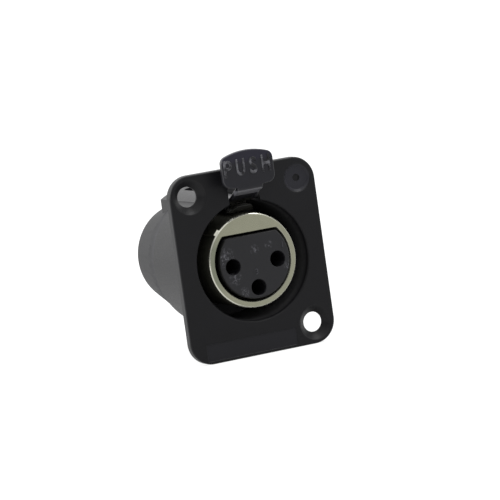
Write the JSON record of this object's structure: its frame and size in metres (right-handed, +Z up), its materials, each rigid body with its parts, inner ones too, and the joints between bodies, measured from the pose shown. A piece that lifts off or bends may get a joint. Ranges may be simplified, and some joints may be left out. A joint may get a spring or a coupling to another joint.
{
  "type": "xlr panel socket",
  "caption": "Black XLR panel socket with a rectangular flange, plated shield ring, sprung push latch, and a tapered rear body round its solder cups.",
  "frame": {"origin": "centre of the flange's rear face, on the axis of the socket, where the flange meets the panel", "axes": "+Y runs back through the panel along the socket's axis, +Z points up to the push tab, +X points right as seen from the front"},
  "size_m": [0.026, 0.0361, 0.0338],
  "materials": {
    "housing": "die-cast zinc alloy with a satin black coating",
    "ring": "satin nickel plate",
    "insulator": "moulded black polyamide with glass fibre",
    "rear": "moulded black polyamide with glass fibre",
    "contact": "silver-plated",
    "retainer": "moulded black polyamide",
    "terminal": "tinned",
    "latch": "die-cast zinc alloy with a satin black coating",
    "pin": "ground",
    "spring": "drawn spring wire",
    "screw": "zinc-plated"
  },
  "bodies": {
    "socket": {"housing": "housing", "shield_ring": "ring", "contact_carrier": "insulator", "rear_body": "rear", "contact_1": "contact", "contact_2": "contact", "contact_3": "contact", "contact_retainer": "retainer", "ground_terminal": "terminal", "latch_pin": "pin", "latch_spring": "spring", "retaining_screw": "screw"},
    "latch": {"push_latch": "latch"}
  },
  "joints": [
    {"name": "latch_pivot", "type": "hinge", "parent": "socket", "child": "latch", "pos_m": [0, 0.0137, 0.0092], "axis": [1, 0, 0], "range_deg": [-7, 0], "stiffness_Nm_per_rad": 0.05, "springref_deg": 8.59, "deforming": ["latch_spring"]}
  ]
}
